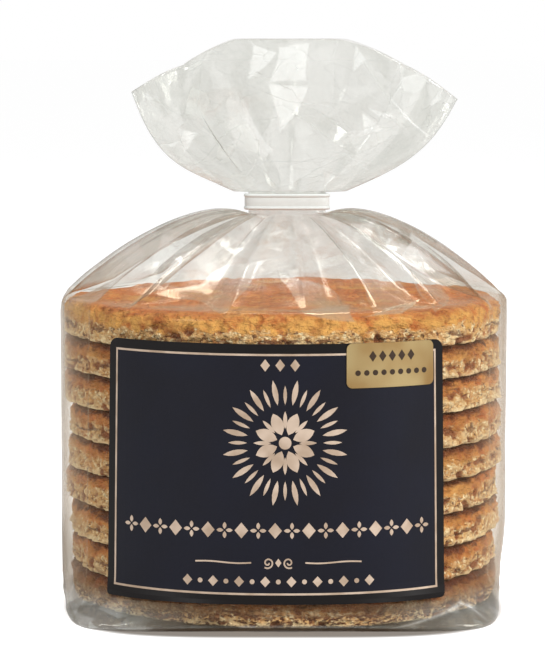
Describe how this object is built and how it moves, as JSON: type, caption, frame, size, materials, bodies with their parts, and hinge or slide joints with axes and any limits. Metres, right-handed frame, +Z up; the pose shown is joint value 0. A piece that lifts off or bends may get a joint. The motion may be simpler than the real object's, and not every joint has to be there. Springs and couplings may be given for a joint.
{
  "type": "bag of stroopwafels",
  "caption": "Clear film bag packed with a stack of round caramel waffles, gathered at the neck under a flat white clip, with a fanned mouth, a dark front label and a small gold sticker.",
  "frame": {"origin": "centre of the bag's flat base, on the surface it stands on", "axes": "+Z up through the neck, -Y out of the label, +X to the right as the label is faced"},
  "size_m": [0.105, 0.1037, 0.13],
  "materials": {
    "film": "clear glossy packing film over golden brown waffles",
    "waffle": "matt baked crust, golden brown, stands for food",
    "clip_plastic": "soft white plastic, slightly glossy",
    "label_print": "satin dark navy label with rose gold lines",
    "gold_sticker": "satin gold sticker"
  },
  "bodies": {
    "root": {"bag": "film", "neck_clip": "clip_plastic", "label": "label_print", "corner_sticker": "gold_sticker"}
  },
  "joints": []
}
